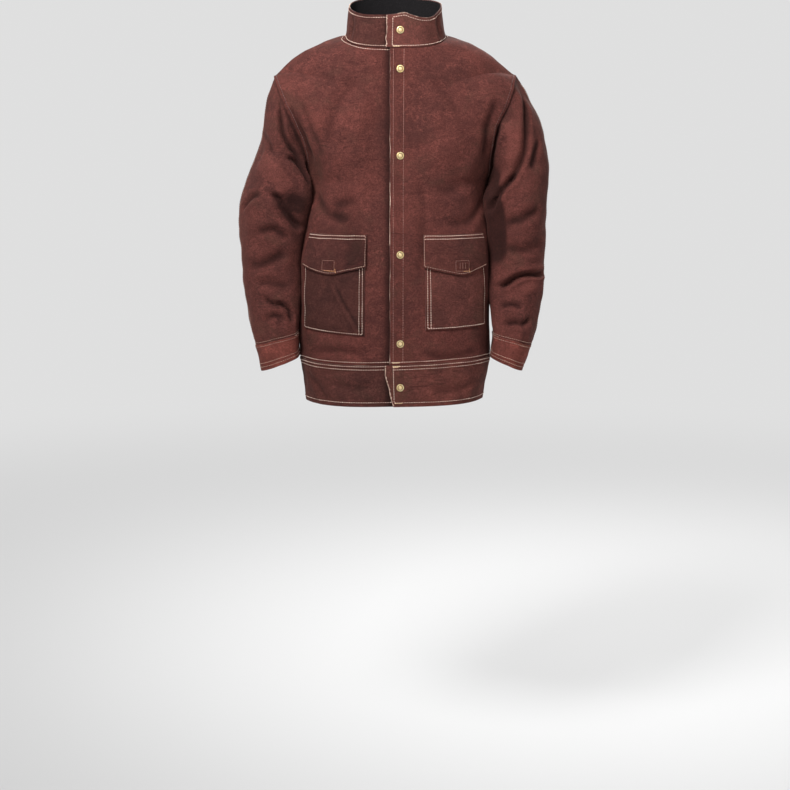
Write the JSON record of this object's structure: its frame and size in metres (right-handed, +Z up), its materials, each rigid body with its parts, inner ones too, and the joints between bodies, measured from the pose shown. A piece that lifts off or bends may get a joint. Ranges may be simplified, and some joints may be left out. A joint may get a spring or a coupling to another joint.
{
  "type": "leather welding jacket",
  "caption": "Long-sleeved suede leather jacket with a stand collar, snap front, two flap pockets, cuffs and a deep hem band.",
  "frame": {"origin": "centre of the neck, level with the inner ends of the shoulder seams, where shoulders or a hanger carry the jacket", "axes": "+Z up along the wearer's neck, the wearer faces -Y, +X is the wearer's left"},
  "size_m": [0.586, 0.2604, 0.7772],
  "materials": {
    "body_leather": "suede split, matte",
    "sleeve_leather": "suede split, matte",
    "pocket_leather": "suede split, matte, darker",
    "band_leather": "suede split, matte, darker",
    "collar_leather": "suede split, matte",
    "facing_leather": "suede split, matte",
    "lining": "dark cotton",
    "hook_and_loop": "hook-and-loop tape",
    "thread": "heavy pale thread",
    "snap_brass": "brushed, lightly worn"
  },
  "bodies": {
    "torso": {"back_panel": "body_leather", "left_front_panel": "body_leather", "right_front_panel": "body_leather", "right_front_facing": "facing_leather", "collar": "collar_leather", "collar_lining": "lining", "hem_band": "band_leather", "hem_band_facing": "facing_leather", "left_pocket": "pocket_leather", "right_pocket": "pocket_leather", "left_pocket_loop_tape": "hook_and_loop", "right_pocket_loop_tape": "hook_and_loop", "snap_studs": "snap_brass", "snap_posts": "snap_brass"},
    "front_overlap": {"placket": "body_leather", "placket_facing": "facing_leather", "collar_end": "collar_leather", "collar_end_lining": "lining", "hem_band_end": "band_leather", "hem_band_end_facing": "facing_leather", "snap_caps": "snap_brass", "snap_sockets": "snap_brass"},
    "left_pocket_flap": {"left_pocket_flap": "pocket_leather", "left_flap_hook_tape": "hook_and_loop"},
    "right_pocket_flap": {"right_pocket_flap": "pocket_leather", "right_flap_hook_tape": "hook_and_loop"},
    "left_sleeve": {"left_sleeve_front": "sleeve_leather", "left_sleeve_back": "sleeve_leather", "left_cuff": "sleeve_leather", "left_cuff_facing": "facing_leather"},
    "right_sleeve": {"right_sleeve_front": "sleeve_leather", "right_sleeve_back": "sleeve_leather", "right_cuff": "sleeve_leather", "right_cuff_facing": "facing_leather"}
  },
  "joints": [
    {"name": "front_overlap_open", "type": "hinge", "parent": "torso", "child": "front_overlap", "pos_m": [0.026, -0.10898, -0.35], "axis": [0, 0.0819, 0.9966], "range_deg": [0, 95]},
    {"name": "left_pocket_flap_lift", "type": "hinge", "parent": "torso", "child": "left_pocket_flap", "pos_m": [0.12469, -0.09318, -0.371], "axis": [-0.8945, -0.4471, 0], "range_deg": [0, 100]},
    {"name": "right_pocket_flap_lift", "type": "hinge", "parent": "torso", "child": "right_pocket_flap", "pos_m": [-0.12462, -0.09195, -0.371], "axis": [-0.9076, 0.4199, 0], "range_deg": [0, 100]},
    {"name": "left_sleeve_raise", "type": "hinge", "parent": "torso", "child": "left_sleeve", "pos_m": [0.228, 0, -0.063], "axis": [0, -1, 0], "range_deg": [0, 50]},
    {"name": "right_sleeve_raise", "type": "hinge", "parent": "torso", "child": "right_sleeve", "pos_m": [-0.228, 0, -0.063], "axis": [0, 1, 0], "range_deg": [0, 50]}
  ]
}
